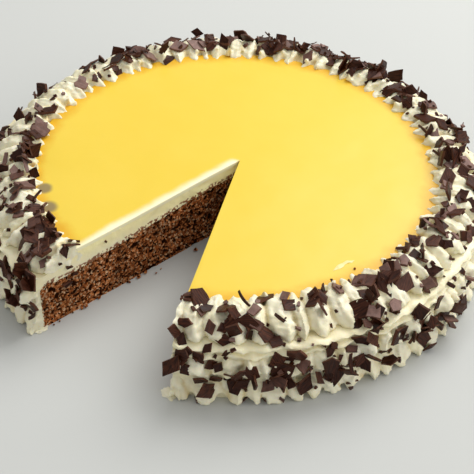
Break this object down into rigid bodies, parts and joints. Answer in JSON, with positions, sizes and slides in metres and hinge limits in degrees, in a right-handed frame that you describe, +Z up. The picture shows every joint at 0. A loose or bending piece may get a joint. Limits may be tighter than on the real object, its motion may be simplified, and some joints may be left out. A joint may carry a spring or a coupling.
{
  "type": "egg liqueur cake",
  "caption": "Round chocolate sponge cake with whipped cream, piped borders, chocolate flakes and a poured egg liqueur top, with one slice taken out.",
  "frame": {"origin": "middle of the cake's round outline, on its flat underside", "axes": "+Z up through the cake, -Y out through the middle of the missing slice"},
  "size_m": [0.2748, 0.2689, 0.0469],
  "materials": {
    "sponge": "moist open crumb",
    "cream": "whipped, soft satin",
    "egg_liqueur": "smooth, glossy",
    "chocolate": "dark chocolate flakes, satin, broken edges"
  },
  "bodies": {
    "root": {"sponge": "sponge", "cream_coat": "cream", "egg_liqueur": "egg_liqueur", "rim_border": "cream", "foot_border": "cream"}
  },
  "joints": []
}
